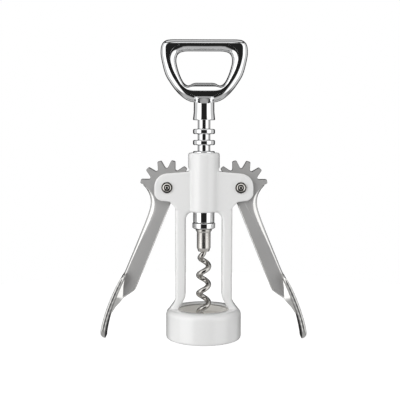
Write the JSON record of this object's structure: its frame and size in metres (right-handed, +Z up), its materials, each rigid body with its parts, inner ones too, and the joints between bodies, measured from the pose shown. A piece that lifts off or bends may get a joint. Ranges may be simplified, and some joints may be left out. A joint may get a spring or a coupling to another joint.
{
  "type": "lever corkscrew",
  "caption": "Winged lever corkscrew: white frame with bell and collar, geared side levers on a ringed rack stem, wire worm and D-ring cap-lifter handle.",
  "frame": {"origin": "on the worm's axis at the bottom rim of the bell, which is also the middle of the object's box", "axes": "+Z up along the worm, +X towards the right lever, +Y away from the front of the handle"},
  "size_m": [0.1238, 0.0454, 0.1796],
  "materials": {
    "white_enamel": "gloss white lacquer on a casting",
    "chrome": "polished chrome plate",
    "satin_nickel": "satin nickel plate with polished edges",
    "polished_steel": "polished plated steel, slightly warm",
    "liner_plastic": "warm grey moulded plastic"
  },
  "bodies": {
    "frame": {"frame": "white_enamel", "bell_liner": "liner_plastic", "left_pivot_screw": "polished_steel", "left_pivot_nut": "polished_steel", "right_pivot_screw": "polished_steel", "right_pivot_nut": "polished_steel"},
    "stop_ring": {"stop_ring": "chrome"},
    "spindle": {"rack_stem": "chrome", "ferrule": "polished_steel", "worm": "polished_steel", "handle": "chrome", "handle_pin": "polished_steel"},
    "left_lever": {"left_lever": "satin_nickel"},
    "right_lever": {"right_lever": "satin_nickel"}
  },
  "joints": [
    {"name": "left_lever_hinge", "type": "hinge", "parent": "frame", "child": "left_lever", "pos_m": [-0.022, 0, 0.0918], "axis": [0, 1, 0], "range_deg": [-18, 134]},
    {"name": "right_lever_hinge", "type": "hinge", "parent": "frame", "child": "right_lever", "pos_m": [0.022, 0, 0.0918], "axis": [0, -1, 0], "range_deg": [-18, 134]},
    {"name": "rack_slide", "type": "slide", "parent": "frame", "child": "stop_ring", "axis": [0, 0, 1], "range_m": [-0.0295, 0.004]},
    {"name": "handle_spin", "type": "hinge", "parent": "stop_ring", "child": "spindle", "pos_m": [0, 0, 0.0686], "axis": [0, 0, 1], "continuous": true}
  ],
  "couplings": [
    {"joint": "right_lever_hinge", "follows": "left_lever_hinge", "ratio": 1},
    {"joint": "rack_slide", "follows": "left_lever_hinge", "m_per_rad": -0.012605}
  ]
}
